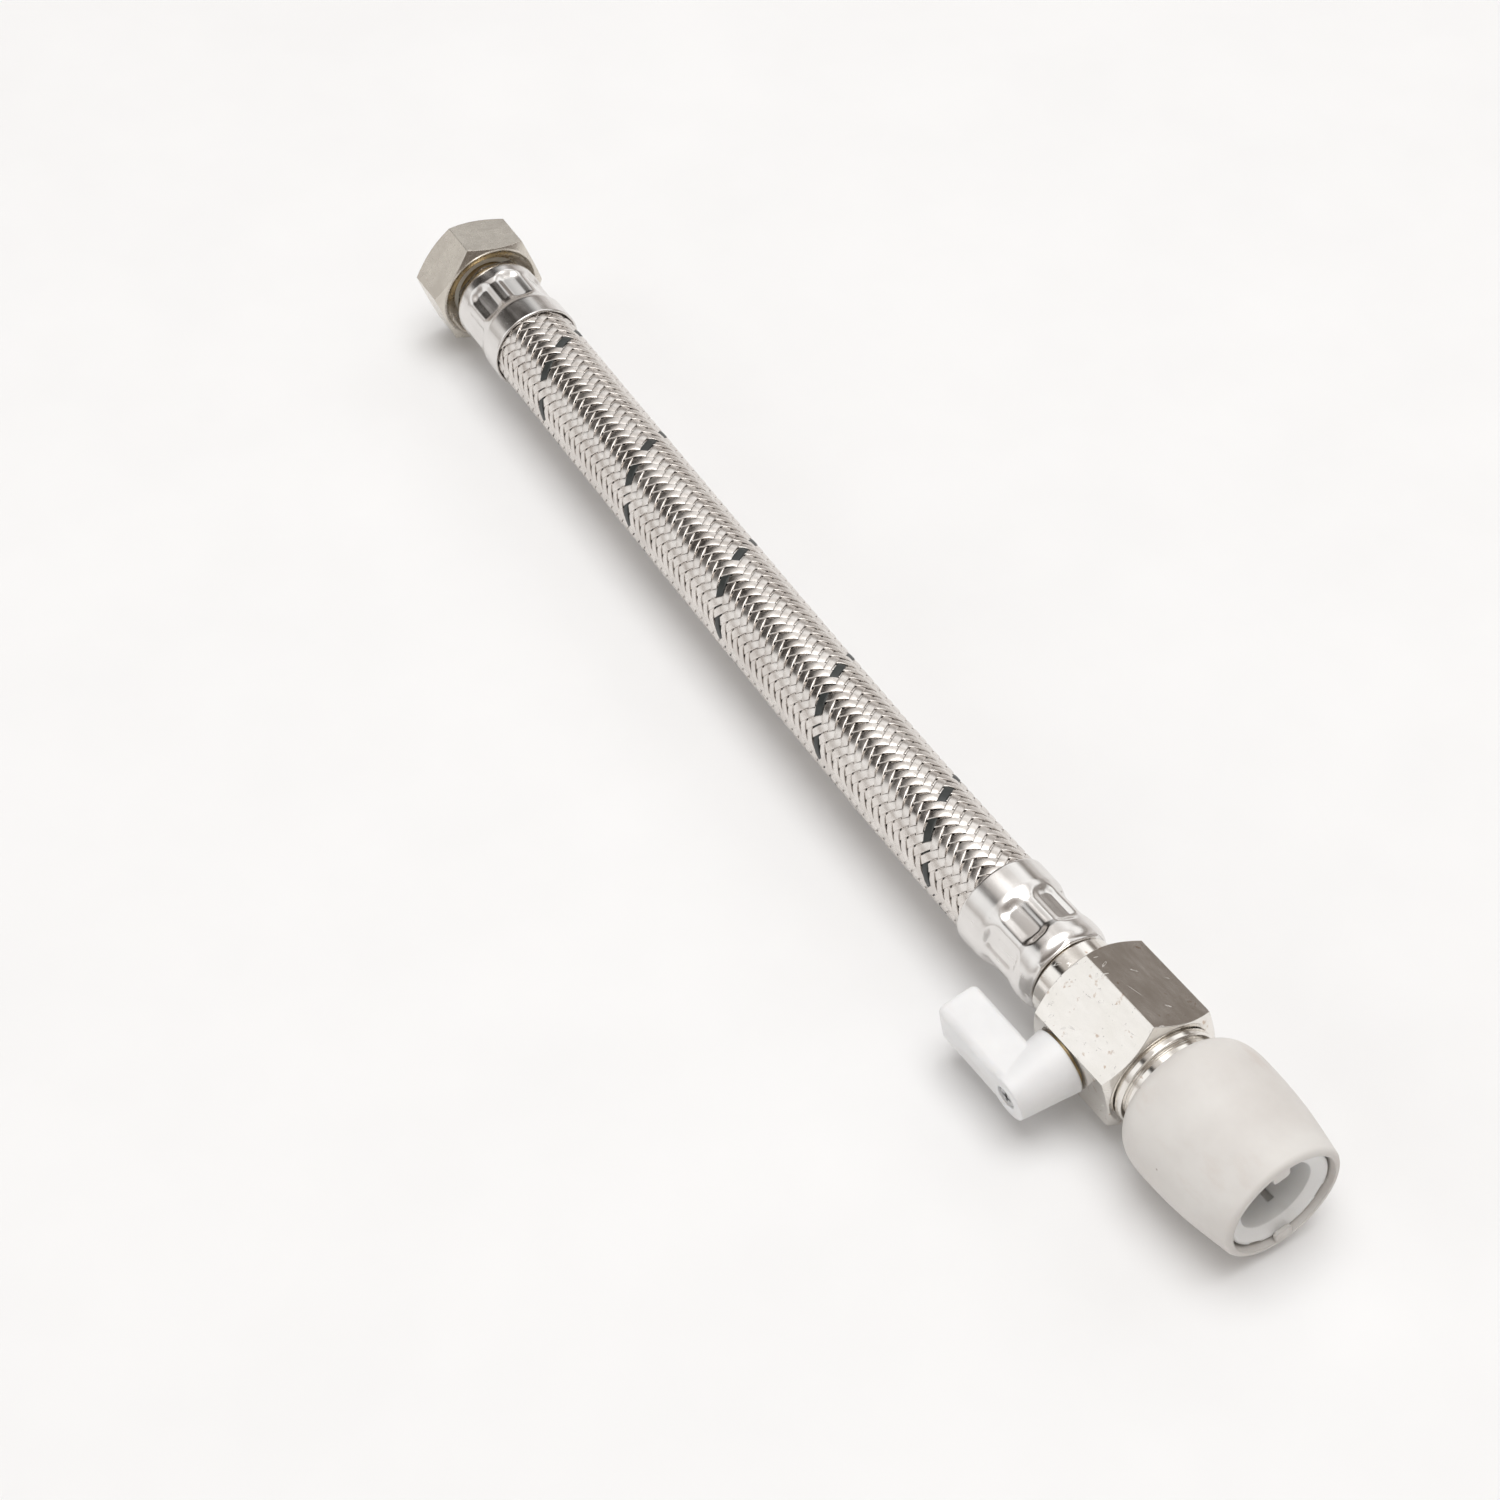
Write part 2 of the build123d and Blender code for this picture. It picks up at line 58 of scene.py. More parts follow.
# ---------------------------------------------------------------- places shared with the CAD model
# Control points of the hose's centre line, from the valve's tail to the nut's tail.
HOSE_ROUTE = [
    (-0.0288, 0.0, 0.0),
    (-0.0578, 0.0, 0.0),
    (-0.1098, 0.0021, 0.0),
    (-0.1798, 0.0061, 0.0),
    (-0.2495, 0.0105, 0.0),
]
HOSE_R = 9.4 * MM             # crest of the braid
CORE_R = 8.62 * MM            # outside of the liner
CORE_BORE_R = 6.4 * MM


def collect(obj):
    """Put a new object in the scene."""
    bpy.context.scene.collection.objects.link(obj)
    return obj


# ---------------------------------------------------------------- camera
CAMERA_PLACE = (0.253199, -0.256184, 0.468726)
CAMERA_AZIMUTH = radians(146.396)     # of the line of sight, from +X towards +Y
CAMERA_DROP = radians(47.413)         # of the line of sight, below the horizon
CAMERA_LENS = 79.176
CAMERA_SENSOR = 36.0
CAMERA_CLIPS = (0.01, 20.0)


def make_camera():
    """Camera at the photograph's viewing angle."""
    data = bpy.data.cameras.new("camera")
    data.lens = CAMERA_LENS
    data.sensor_width = CAMERA_SENSOR
    data.clip_start, data.clip_end = CAMERA_CLIPS
    camera = collect(bpy.data.objects.new("camera", data))
    camera.location = CAMERA_PLACE
    sight = Vector((cos(CAMERA_DROP) * cos(CAMERA_AZIMUTH),
                    cos(CAMERA_DROP) * sin(CAMERA_AZIMUTH),
                    -sin(CAMERA_DROP)))
    camera.rotation_mode = "QUATERNION"
    camera.rotation_quaternion = sight.to_track_quat("-Z", "Y")
    bpy.context.scene.camera = camera


make_camera()


# ---------------------------------------------------------------- mesh helpers
def mesh_object(name, vertices, faces, smooth=True):
    """New mesh object from lists or arrays of vertices and faces."""
    mesh = bpy.data.meshes.new(name)
    mesh.from_pydata([tuple(v) for v in vertices], [], [tuple(f) for f in faces])
    mesh.polygons.foreach_set("use_smooth", [smooth] * len(mesh.polygons))
    mesh.update()
    return collect(bpy.data.objects.new(name, mesh))


def grid_faces(rows, columns, loop_rows=False):
    """Quads of a grid of vertices stored row by row, each row a closed ring."""
    faces = []
    for row in range(rows if loop_rows else rows - 1):
        here = row * columns
        above = ((row + 1) % rows) * columns
        for column in range(columns):
            right = (column + 1) % columns
            faces.append((here + column, here + right, above + right, above + column))
    return faces


def fit_normals(obj):
    """Turn every face of a closed mesh outwards."""
    work = bmesh.new()
    work.from_mesh(obj.data)
    bmesh.ops.recalc_face_normals(work, faces=work.faces)
    work.to_mesh(obj.data)
    work.free()
    return obj


def smooth_step(share):
    """A share from 0 to 1, eased in and out."""
    return share * share * (3 - 2 * share)


# ---------------------------------------------------------------- hose line
LINE_ORDER = 3                # of the NURBS line
LINE_RESOLUTION = 40
SLOPE_REACH = 1.5 * MM        # the line's direction is taken between points this far to each side


def spline_points(points):
    """Points along the smooth NURBS line that has the route's points as its control points."""
    curve = bpy.data.curves.new("hose_line", "CURVE")
    curve.dimensions = "3D"
    spline = curve.splines.new("NURBS")
    spline.points.add(len(points) - 1)
    for control, point in zip(spline.points, points):
        control.co = (*point, 1.0)
    spline.order_u = LINE_ORDER
    spline.use_endpoint_u = True
    spline.resolution_u = LINE_RESOLUTION
    holder = collect(bpy.data.objects.new("hose_line", curve))
    mesh = bpy.data.meshes.new_from_object(holder)
    line = np.array([tuple(vertex.co) for vertex in mesh.vertices])
    bpy.data.objects.remove(holder)
    bpy.data.curves.remove(curve)
    bpy.data.meshes.remove(mesh)
    return line


class HoseLine:
    """The hose's centre line, with a frame at any distance from the valve's tail."""

    def __init__(self, points):
        self.points = points
        steps = np.linalg.norm(np.diff(points, axis=0), axis=1)
        self.reach = np.concatenate([[0.0], np.cumsum(steps)])
        self.length = float(self.reach[-1])

    def centre(self, distance):
        """Points on the line at the distances given."""
        return np.stack([np.interp(distance, self.reach, self.points[:, k]) for k in range(3)],
                        axis=-1)

    def around(self, distance, angle, radius):
        """Points at a radius and an angle, from +Y towards +Z, round the line."""
        back = self.centre(np.clip(distance - SLOPE_REACH, 0, self.length))
        ahead = self.centre(np.clip(distance + SLOPE_REACH, 0, self.length))
        forward = back - ahead
        forward /= np.linalg.norm(forward, axis=-1, keepdims=True)
        side = np.stack([-forward[..., 1], forward[..., 0], np.zeros_like(forward[..., 0])],
                        axis=-1)
        side /= np.linalg.norm(side, axis=-1, keepdims=True)
        up = np.cross(forward, side)
        lean = np.cos(angle)[..., None] * side + np.sin(angle)[..., None] * up
        return self.centre(distance) + radius[..., None] * lean


LINE = HoseLine(spline_points(HOSE_ROUTE))
CORE_STEPS = 48
CORE_STATIONS = 120


def make_core():
    """Rubber liner under the braid, closed at both ends by its own wall."""
    stations = np.linspace(0.0, LINE.length, CORE_STATIONS)
    turns = np.arange(CORE_STEPS) * 2 * pi / CORE_STEPS
    walls = []
    for radius, order in ((CORE_R, stations), (CORE_BORE_R, stations[::-1])):
        distance, angle = np.meshgrid(order, turns, indexing="ij")
        walls.append(LINE.around(distance, angle, np.full_like(distance, radius)).reshape(-1, 3))
    faces = grid_faces(2 * CORE_STATIONS, CORE_STEPS, loop_rows=True)
    core = fit_normals(mesh_object("liner", np.concatenate(walls), faces))
    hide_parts("hose_liner")
    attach(core, "root")
    return core


CORE = make_core()

# ---------------------------------------------------------------- braid
STRANDS = 16                  # each way round
LEAD = 37.6 * MM              # one turn of a strand
PITCH_ANGLE = 2 * pi / STRANDS
TURN_RATE = 2 * pi / LEAD
SECTIONS_PER_FLOAT = 7
BRAID_SETBACK = 13.0 * MM     # from the liner's ends to the braid's
BRAID_SEED = 11

TRACER_AT = 0.111             # a float of the tracer is centred here, at this angle
TRACER_ANGLE = radians(126.0)
# Angle of strand 0 at TRACER_AT, for the strands of each hand.
HAND_ZERO = {1: TRACER_ANGLE, -1: TRACER_ANGLE - 0.5 * PITCH_ANGLE}

LIFT = 0.20 * MM              # a strand's rise and fall about the middle of the weave
LIFT_SHARPNESS = 1.9          # how flat a strand runs between its rise and its fall
LIFT_LIMIT = float(np.tanh(LIFT_SHARPNESS))

STRAND_WIDTH = 1.70 * MM
STRAND_THICK = 0.3 * MM
CROWN = 0.030 * MM            # how far a strand's edges fall below its middle
WIRES = 6                     # wires side by side in a strand
WIRE_BUMP = 0.004 * MM
WIRES_END = 0.43              # shares of the width, from the middle to the outermost wire,
ROUNDING_START = 0.475        # to the start of the rounded edge
BACK_EDGE = 0.47              # and to the edge of the flat back
ROUNDING_HEIGHTS = (0.88, 0.5)        # of the thickness, where the rounding starts and ends

WANDER = 0.03 * MM            # how far a strand strays sideways
WANDER_LENGTH = 9 * MM
WANDER_PHASES = 6.28
WANDER_LEAST = 0.3            # share of WANDER that the straightest strand has
WIDTH_SPREAD = 0.03
HEIGHT_SPREAD = 0.012 * MM


def weave_height(phase):
    """Height of a strand in the weave, from -1 to 1, over a phase whose period is four strands."""
    wave = np.cos(phase * pi / 2)
    return np.tanh(LIFT_SHARPNESS * wave) / LIFT_LIMIT


def strand_section():
    """Offsets across a strand and heights above its back: flat, with wires and rounded edges."""
    wires = np.linspace(-WIRES_END, WIRES_END, 2 * WIRES - 1)
    shares = np.concatenate([[-0.5, -ROUNDING_START], wires, [ROUNDING_START, 0.5]])
    height = np.full(len(shares), STRAND_THICK)
    height[2:-2:2] -= WIRE_BUMP
    height[[1, -2]] = STRAND_THICK * ROUNDING_HEIGHTS[0]
    height[[0, -1]] = STRAND_THICK * ROUNDING_HEIGHTS[1]
    across = np.append(shares, [BACK_EDGE, -BACK_EDGE]) * STRAND_WIDTH
    return across, np.append(height, [0.0, 0.0])


def strand_mesh(index, way, rng):
    """Vertices and faces of one strand.  way is +1 if its angle grows towards the valve."""
    first, last = BRAID_SETBACK, LINE.length - BRAID_SETBACK
    count = int((last - first) / LEAD * STRANDS * SECTIONS_PER_FLOAT / 2) + 1
    distance = np.linspace(first, last, count)
    angle = HAND_ZERO[way] + index * PITCH_ANGLE - way * TURN_RATE * (distance - TRACER_AT)
    across, height = strand_section()

    slope = atan2(HOSE_R * TURN_RATE, 1.0)          # of the strand to the hose's axis
    stray = np.sin(distance * 2 * pi / WANDER_LENGTH + rng.uniform(0, WANDER_PHASES))
    wander = WANDER * stray * rng.uniform(WANDER_LEAST, 1.0)
    width = 1.0 + WIDTH_SPREAD * rng.uniform(-1, 1)
    offset = across[None, :] * width + wander[:, None]
    distance_there = distance[:, None] + way * offset * sin(slope)
    angle_there = angle[:, None] + offset * cos(slope) / HOSE_R

    # which strand of the other hand passes here, as a fraction
    turned = angle_there - HAND_ZERO[-way] - way * TURN_RATE * (distance_there - TRACER_AT)
    phase = index + turned / PITCH_ANGLE - 0.5
    lift = way * weave_height(phase) * LIFT
    crown = -CROWN * (across / (0.5 * STRAND_WIDTH)) ** 2
    radius = HOSE_R - LIFT - STRAND_THICK + height[None, :] + lift + crown[None, :]
    radius = radius + HEIGHT_SPREAD * rng.uniform(-1, 1)
    radius = np.minimum(radius, HOSE_R)

    points = LINE.around(distance_there, angle_there, radius).reshape(-1, 3)
    columns = len(across)
    faces = grid_faces(count, columns)
    faces.append(tuple(range(columns - 1, -1, -1)))
    faces.append(tuple((count - 1) * columns + k for k in range(columns)))
    return points, faces


def make_braid_piece(name, indexes, way, rng):
    """One piece of the braid: the strands of one hand that the indexes name."""
    points = []
    faces = []
    total = 0
    for index in indexes:
        some_points, some_faces = strand_mesh(index, way, rng)
        points.append(some_points)
        faces += [tuple(total + corner for corner in face) for face in some_faces]
        total += len(some_points)
    piece = fit_normals(mesh_object(name, np.concatenate(points), faces))
    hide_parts("hose_braid")
    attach(piece, "root")
    return piece


def make_braid():
    """Black tracer and the steel strands, in pieces of at most eight strands."""
    rng = np.random.default_rng(BRAID_SEED)
    half = STRANDS // 2
    return [
        make_braid_piece("braid_tracer", [0], 1, rng),
        make_braid_piece("braid_right_a", range(1, half), 1, rng),
        make_braid_piece("braid_right_b", range(half, STRANDS), 1, rng),
        make_braid_piece("braid_left_a", range(half), -1, rng),
        make_braid_piece("braid_left_b", range(half, STRANDS), -1, rng),
    ]


BRAID = make_braid()

# ---------------------------------------------------------------- ferrules
# Distances along a ferrule are from the liner's end, positive over the hose.
FERRULE_STEPS = 256
FERRULE_NOSE_RADII = (6.72 * MM, 7.6 * MM)    # of the flat end, from the hole outwards
# Stations of the outside, in mm: first, last and how many.
FERRULE_RUNS = [(-1.1, 1.6, 16), (1.8, 5.2, 24), (5.7, 10.2, 9), (10.5, 14.4, 26), (15.0, 19.0, 6)]
FERRULE_X = [x * MM for x in np.concatenate([np.linspace(*run) for run in FERRULE_RUNS])]
# Rolled lip and the inside back to the hole, in mm: distance and radius.
FERRULE_LIP = [
    (19.2, 10.08), (19.45, 10.08), (19.62, 10.0), (19.7, 9.86), (19.7, 9.66), (19.6, 9.53),
    (19.4, 9.47), (18.6, 9.45), (13.2, 9.45), (12.0, 8.64), (0.0, 8.64), (0.0, 6.72),
]
# Outside before crimping, in mm.
NOSE_START, NOSE_END = -1.1, 1.6
NOSE_R, NOSE_RISE, NOSE_FULLNESS = 7.9, 1.75, 2.2
SLEEVE_R, SLEEVE_TAPER = 9.65, 0.05
FLARE_START, FLARE_END = 12.0, 14.2
FLARE_R, FLARE_RISE = 9.6, 0.42
SKIRT_SLOPE = 0.012

CRIMPS = 8
CRIMP_PITCH = 2 * pi / CRIMPS
CRIMP_FLOOR = 8.72 * MM
CRIMP_FLATNESS = 0.72         # 1 is a flat floor, 0 one that is round with the sleeve
CRIMP_FROM, CRIMP_TO = 2.9 * MM, 13.2 * MM
CRIMP_CORNER = 2.6 * MM
CRIMP_WALL = 2.0 * MM         # width of the slope round each dimple
CRIMP_RIDGE = 0.35 * MM       # width left standing between two dimples
CRIMP_SINK = 0.16 * MM        # how far the ridges are drawn in
SINK_FADE = 1.2 * MM          # length over which the ridges come back to the full radius
SINK_END = 1.5                # they are back this many SINK_FADE past where the corners begin
NUT_END_CRIMP_TURN = radians(38.8)
VALVE_END_CRIMP_TURN = radians(64.5)


def ferrule_profile(x):
    """Outside radius before crimping, at a distance x from the liner's end."""
    mm = x / MM
    if mm < NOSE_END:
        share = min(1.0, (mm - NOSE_START) / (NOSE_END - NOSE_START))
        return (NOSE_R + NOSE_RISE * (1 - (1 - share) ** NOSE_FULLNESS) ** 0.5) * MM
    if mm < FLARE_START:
        along = (mm - NOSE_END) / (FLARE_START - NOSE_END)
        return (SLEEVE_R - SLEEVE_TAPER * along) * MM
    share = min(1.0, (mm - FLARE_START) / (FLARE_END - FLARE_START))
    past = max(0.0, mm - FLARE_END)
    return (FLARE_R + FLARE_RISE * smooth_step(share) + SKIRT_SLOPE * past) * MM


def crimped_radius(x, angle, turn):
    """Outside radius after the crimping jaws have pressed their round-cornered dimples."""
    plain = ferrule_profile(x)
    off = (angle - turn + CRIMP_PITCH / 2) % CRIMP_PITCH - CRIMP_PITCH / 2
    floor = CRIMP_FLOOR * (1 + CRIMP_FLATNESS * (1 / cos(off) - 1))
    along = abs(x - (CRIMP_FROM + CRIMP_TO) / 2) - (CRIMP_TO - CRIMP_FROM) / 2 + CRIMP_CORNER
    across = (abs(off) - CRIMP_PITCH / 2) * CRIMP_FLOOR + CRIMP_RIDGE / 2 + CRIMP_CORNER
    corner = math.hypot(max(along, 0.0), max(across, 0.0))
    outside = corner + min(max(along, across), 0.0) - CRIMP_CORNER
    share = smooth_step(max(0.0, min(1.0, 1 + outside / CRIMP_WALL)))
    ridge = plain - CRIMP_SINK * max(0.0, min(1.0, SINK_END - along / SINK_FADE))
    return floor + (max(ridge, floor) - floor) * share


def make_ferrule(name, node, place, turn):
    """Crimped stainless sleeve with a rolled lip, swept round in fine steps."""
    angles = [2 * pi * k / FERRULE_STEPS for k in range(FERRULE_STEPS)]
    rings = [(FERRULE_X[0], [radius] * FERRULE_STEPS) for radius in FERRULE_NOSE_RADII]
    rings += [(x, [crimped_radius(x, angle, turn) for angle in angles]) for x in FERRULE_X]
    rings += [(x * MM, [radius * MM] * FERRULE_STEPS) for x, radius in FERRULE_LIP]
    points = []
    for x, radii in rings:
        points += [place @ Vector((x, radius * cos(angle), radius * sin(angle)))
                   for radius, angle in zip(radii, angles)]
    faces = grid_faces(len(rings), FERRULE_STEPS, loop_rows=True)
    piece = fit_normals(mesh_object(name, points, faces))
    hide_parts(node)
    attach(piece, "root")
    return piece


def nut_end_place():
    """Frame of the nut end: origin at the liner's end, local +X back along the hose."""
    x0, y0, _ = HOSE_ROUTE[-2]
    x1, y1, z1 = HOSE_ROUTE[-1]
    angle = atan2(y1 - y0, x0 - x1)
    return Matrix.Translation((x1, y1, z1)) @ Matrix.Rotation(-angle, 4, "Z")


NUT_PLACE = nut_end_place()
VALVE_PLACE = Matrix.Translation(HOSE_ROUTE[0]) @ Matrix.Rotation(pi, 4, "Z")
FERRULES = [
    make_ferrule("nut_end_ferrule_sleeve", "nut_end_ferrule", NUT_PLACE, NUT_END_CRIMP_TURN),
    make_ferrule("valve_end_ferrule_sleeve", "valve_end_ferrule", VALVE_PLACE,
                 VALVE_END_CRIMP_TURN),
]


# ---------------------------------------------------------------- shader helpers
BEVEL_SAMPLES = 6
NOISE_ROUGHNESS = 0.55
# Sockets of a Mix node in colour mode: the share, the two colours and the result.
MIX_INPUTS = (0, 6, 7)
MIX_RESULT = 2


def new_material(name):
    """Empty Principled material: returns the material, its tree and its shader."""
    material = bpy.data.materials.new(name)
    material.use_nodes = True
    return material, material.node_tree, material.node_tree.nodes["Principled BSDF"]


def plug(tree, value, socket):
    """Link a socket to another, or set it to a constant."""
    if isinstance(value, bpy.types.NodeSocket):
        tree.links.new(value, socket)
    elif hasattr(value, "__len__") and socket.type == "RGBA":
        socket.default_value = (*value, 1.0)
    else:
        socket.default_value = value


def add(tree, kind, **values):
    """New node; values name its inputs, with _ for a space, or its own settings."""
    node = tree.nodes.new(kind)
    for key, value in values.items():
        if hasattr(node, key):
            setattr(node, key, value)
        else:
            plug(tree, value, node.inputs[key.replace("_", " ")])
    return node


def object_place(tree, stretch=(1, 1, 1), place=None):
    """Position on the object in metres, or in the frame given, stretched for grain."""
    coordinate = add(tree, "ShaderNodeTexCoord").outputs["Object"]
    if place is not None:
        location, rotation, _ = place.decompose()
        coordinate = add(tree, "ShaderNodeMapping", vector_type="TEXTURE", Vector=coordinate,
                         Location=location, Rotation=rotation.to_euler()).outputs["Vector"]
    return add(tree, "ShaderNodeMapping", Vector=coordinate, Scale=stretch).outputs["Vector"]


def noise(tree, per_metre, detail, stretch=(1, 1, 1), place=None, roughness=NOISE_ROUGHNESS):
    """Noise of so many features in a metre, with detail octaves below them."""
    return add(tree, "ShaderNodeTexNoise", Vector=object_place(tree, stretch, place),
               Scale=per_metre, Detail=detail, Roughness=roughness).outputs["Fac"]


def cells(tree, per_metre):
    """Distance to the nearest of so many scattered points in a metre."""
    return add(tree, "ShaderNodeTexVoronoi", Vector=object_place(tree),
               Scale=per_metre).outputs["Distance"]


def ramp(tree, value, stops, smooth=False):
    """Colour or grey ramp; stops are (place, colour or grey)."""
    node = add(tree, "ShaderNodeValToRGB")
    tree.links.new(value, node.inputs["Fac"])
    band = node.color_ramp
    if smooth:
        band.interpolation = "EASE"
    while len(band.elements) < len(stops):
        band.elements.new(0.5)
    for element, (place, colour) in zip(band.elements, stops):
        element.position = place
        if not hasattr(colour, "__len__"):
            colour = (colour, colour, colour)
        element.color = (*colour, 1.0)
    return node.outputs["Color"]


def mix(tree, share, low, high):
    """Blend of two colours, given as sockets or as constants."""
    node = add(tree, "ShaderNodeMix", data_type="RGBA")
    for index, value in zip(MIX_INPUTS, (share, low, high)):
        plug(tree, value, node.inputs[index])
    return node.outputs[MIX_RESULT]


def combine(tree, operation, first, second):
    """Arithmetic on two sockets or a socket and a number."""
    node = add(tree, "ShaderNodeMath", operation=operation)
    for socket, value in zip(node.inputs, (first, second)):
        plug(tree, value, socket)
    return node.outputs[0]


def weighted(tree, *terms):
    """Sum of (value, weight) terms."""
    total = None
    for value, weight in terms:
        term = combine(tree, "MULTIPLY", value, weight)
        total = term if total is None else combine(tree, "ADD", total, term)
    return total


def shaded(colour, share):
    """A colour made darker by a share."""
    return tuple(share * part for part in colour)


def relief(tree, shader, height, strength, distance, edge=0.0):
    """Bump from a height, over edges rounded by a bevel of the given radius."""
    bump = add(tree, "ShaderNodeBump", Strength=strength, Distance=distance, Height=height)
    if edge:
        bevel = add(tree, "ShaderNodeBevel", samples=BEVEL_SAMPLES, Radius=edge)
        tree.links.new(bevel.outputs["Normal"], bump.inputs["Normal"])
    tree.links.new(bump.outputs["Normal"], shader.inputs["Normal"])


def average(tree, first, second):
    """Middle of two values."""
    return combine(tree, "MULTIPLY", combine(tree, "ADD", first, second), 0.5)


# ---------------------------------------------------------------- metals
# Noise scales are in features per metre; ramp stops are (noise value, result).
METAL_CLOUDS, METAL_CLOUD_SHARE = 130, 0.6
METAL_LINES, METAL_LINE_SHARE = 420, 0.4
METAL_FINE = 900
METAL_TONE_STOPS = (0.36, 0.62)               # where the dark tone ends and the light one starts
METAL_ROUGH_STOPS = (0.35, 0.65)
METAL_ROUGH_SPREAD = (0.75, 1.4)              # times the finish's roughness
METAL_RELIEF = 0.2 * MM
FINE_RELIEF, PIT_RELIEF = 0.5, 0.8            # shares of the fine grain and the pits in the relief
PITS = 900
PIT_STOPS = [(0.03, 0.0), (0.12, 1.0)]        # 0 in a pit, 1 on the surface
PIT_PATCHES = 210
PIT_PATCH_STOPS = [(0.5, 1.0), (0.62, 0.0)]   # pits show only where the result is near 0
PIT_SHADE = 0.45
RUST_SPECKS = 520
RUST_STOPS = [(0.62, 0.0), (0.70, 0.6)]

THIN_PLATING_SPAN = 10 * MM                   # distance from the nut's axis that reads as 1
THIN_PLATING_STOPS = [(0.82, 1.0), (0.85, 0.0)]
THIN_PLATING_PATCHES = 90
THIN_PLATING_SHARES = [(0.35, 0.2), (0.6, 0.7)]
BRASS_SHOWING = (0.50, 0.40, 0.24)

SCRATCH_TURNS = (0.3, 0.9, 1.5, 2.0, 2.7)     # radians about Z
SCRATCH_TILT = 0.7                            # turn about X, as a share of the turn about Z
SCRATCHES = 60
SCRATCH_STRETCH = (0.12, 9.0, 9.0)
SCRATCH_ROUGHNESS = 0.7                       # of the noise
SCRATCH_LEVEL = 0.695                         # noise value where a scratch starts
SCRATCH_PEAK, SCRATCH_END = 0.02, 0.045       # above SCRATCH_LEVEL
SCRATCH_STRENGTH = 0.55
SCRATCH_TONE = (0.95, 0.93, 0.90)
SCRATCH_MATT = (0.7, 0.7, 0.7)


def metal(name, light, dark, rough, grain=(1, 1, 1), edge=0.0, relief_strength=0.12, specks=None):
    """Worked metal: cloudy tone, directional grain, pits in patches and, where given, specks."""
    material, tree, shader = new_material(name)
    shader.inputs["Metallic"].default_value = 1.0
    clouds = noise(tree, METAL_CLOUDS, detail=5)
    lines = noise(tree, METAL_LINES, detail=3, stretch=grain)
    worked = weighted(tree, (clouds, METAL_CLOUD_SHARE), (lines, METAL_LINE_SHARE))
    tone = ramp(tree, worked, list(zip(METAL_TONE_STOPS, (dark, light))))
    pits = combine(tree, "MAXIMUM", ramp(tree, cells(tree, PITS), PIT_STOPS),
                   ramp(tree, noise(tree, PIT_PATCHES, detail=3), PIT_PATCH_STOPS))
    tone = mix(tree, pits, shaded(dark, PIT_SHADE), tone)
    if specks:
        spots = ramp(tree, noise(tree, RUST_SPECKS, detail=6), RUST_STOPS)
        tone = mix(tree, spots, tone, specks)
    tree.links.new(tone, shader.inputs["Base Color"])
    fine = noise(tree, METAL_FINE, detail=4, stretch=grain)
    roughness = ramp(tree, average(tree, fine, clouds),
                     [(stop, min(1.0, rough * spread))
                      for stop, spread in zip(METAL_ROUGH_STOPS, METAL_ROUGH_SPREAD)])
    tree.links.new(roughness, shader.inputs["Roughness"])
    height = weighted(tree, (fine, FINE_RELIEF), (pits, PIT_RELIEF))
    relief(tree, shader, height, relief_strength, METAL_RELIEF, edge)
    return material


def thinly_plated(material):
    """Lets brass show warm through the nut's plating near its hole."""
    tree = material.node_tree
    shader = tree.nodes["Principled BSDF"]
    tone = shader.inputs["Base Color"].links[0].from_socket
    length = add(tree, "ShaderNodeVectorMath", operation="LENGTH")
    tree.links.new(object_place(tree, (0, 1, 1), NUT_PLACE), length.inputs[0])
    from_axis = combine(tree, "MULTIPLY", length.outputs["Value"], 1 / THIN_PLATING_SPAN)
    inside = ramp(tree, from_axis, THIN_PLATING_STOPS, smooth=True)
    patches = ramp(tree, noise(tree, THIN_PLATING_PATCHES, detail=3), THIN_PLATING_SHARES)
    worn = combine(tree, "MULTIPLY", inside, patches)
    tree.links.new(mix(tree, worn, tone, BRASS_SHOWING), shader.inputs["Base Color"])
    return material


def scratched(material):
    """Adds a few light scratches to a metal's colour and roughness."""
    tree = material.node_tree
    shader = tree.nodes["Principled BSDF"]
    tone = shader.inputs["Base Color"].links[0].from_socket
    smooth = shader.inputs["Roughness"].links[0].from_socket
    total = None
    for turn in SCRATCH_TURNS:
        place = Matrix.Rotation(turn, 4, "Z") @ Matrix.Rotation(SCRATCH_TILT * turn, 4, "X")
        mark = noise(tree, SCRATCHES, detail=2, stretch=SCRATCH_STRETCH, place=place,
                     roughness=SCRATCH_ROUGHNESS)
        mark = ramp(tree, mark, [(SCRATCH_LEVEL, 0.0),
                                 (SCRATCH_LEVEL + SCRATCH_PEAK, SCRATCH_STRENGTH),
                                 (SCRATCH_LEVEL + SCRATCH_END, 0.0)])
        total = mark if total is None else combine(tree, "MAXIMUM", total, mark)
    tree.links.new(mix(tree, total, tone, SCRATCH_TONE), shader.inputs["Base Color"])
    tree.links.new(mix(tree, total, smooth, SCRATCH_MATT), shader.inputs["Roughness"])
    return material


# ---------------------------------------------------------------- plastics, rubber and fibre
PLASTIC_CLOUDS = 45
PLASTIC_TONE_STOPS = (0.35, 0.65)
PLASTIC_ROUGH_STOPS = (0.2, 0.8)
PLASTIC_ROUGH_SPREAD = (0.85, 1.25)
PLASTIC_ROUGH_GAIN = 0.8
PLASTIC_GRIME = (0.5, 0.46, 0.4)
SMEAR_SCALE = 2.2                             # times the cloud scale
SMEAR_STRETCH = (0.5, 1, 1)
SMEAR_STOPS = [(0.56, 0.0), (0.78, 1.0)]
DUST_SPECKS = 170
DUST_STOPS = [(0.018, 0.7), (0.05, 0.0)]
DUST_PATCHES = 70
DUST_PATCH_STOPS = [(0.52, 0.0), (0.6, 1.0)]
DUST_SHADE = 0.55
SUBSURFACE_RADIUS = (1.0, 0.9, 0.8)
